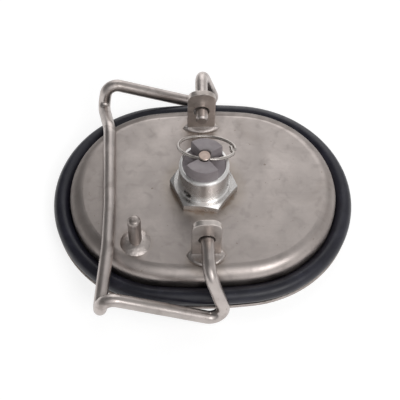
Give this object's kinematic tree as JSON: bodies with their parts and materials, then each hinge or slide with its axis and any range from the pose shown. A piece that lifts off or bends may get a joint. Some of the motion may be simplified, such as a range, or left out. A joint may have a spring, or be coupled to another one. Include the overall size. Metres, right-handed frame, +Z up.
{
  "type": "keg lid",
  "caption": "Oval pressed steel keg lid with a rubber ring, a folding wire bail in two ears, a stop stud and a relief valve with a cap and pull ring.",
  "frame": {"origin": "middle of the oval, in the plane that the flange rests on", "axes": "+X along the oval's long axis, away from the folded handle; +Y towards the rear ear, across the oval; +Z up through the valve"},
  "size_m": [0.1198, 0.108, 0.0364],
  "materials": {
    "lid_steel": "scratched brushed",
    "seal_rubber": "smooth",
    "wire_steel": "drawn",
    "ear_steel": "worn",
    "weld_steel": "weld bead",
    "machined_steel": "machined",
    "gasket_rubber": "matte",
    "cap_plastic": "moulded",
    "stem_metal": "dull",
    "ring_steel": "wire",
    "spring_steel": "wire"
  },
  "bodies": {
    "lid": {"lid_shell": "lid_steel", "seal_ring": "seal_rubber", "bracket_front": "ear_steel", "bracket_rear": "ear_steel", "weld_front": "weld_steel", "weld_rear": "weld_steel", "stop_stud": "wire_steel", "weld_stud": "weld_steel", "valve_bush": "machined_steel", "weld_bush": "weld_steel", "valve_body": "machined_steel", "valve_gasket": "gasket_rubber", "valve_cap": "cap_plastic", "spring_washer": "machined_steel", "valve_spring": "spring_steel"},
    "bail": {"bail_wire": "wire_steel"},
    "poppet_slide": {"poppet": "machined_steel", "poppet_seal": "gasket_rubber", "seal_washer": "machined_steel"},
    "stem": {"valve_stem": "stem_metal"},
    "ring": {"pull_ring": "ring_steel"}
  },
  "joints": [
    {"name": "bail_swing", "type": "hinge", "parent": "lid", "child": "bail", "pos_m": [0, 0, 0.0256], "axis": [0, 1, 0], "range_deg": [0, 206]},
    {"name": "valve_lift", "type": "slide", "parent": "lid", "child": "poppet_slide", "axis": [0, 0, 1], "range_m": [0, 0.0035], "stiffness_N_per_m": 2500, "springref_m": -0.004, "deforming": ["valve_spring"]},
    {"name": "stem_turn", "type": "hinge", "parent": "poppet_slide", "child": "stem", "pos_m": [0, 0, 0.0336], "axis": [0, 0, 1], "range_deg": [-20, 14]},
    {"name": "ring_flip", "type": "hinge", "parent": "stem", "child": "ring", "pos_m": [0, 0, 0.0336], "axis": [0.9895, -0.1444, 0], "range_deg": [0, 243]}
  ]
}
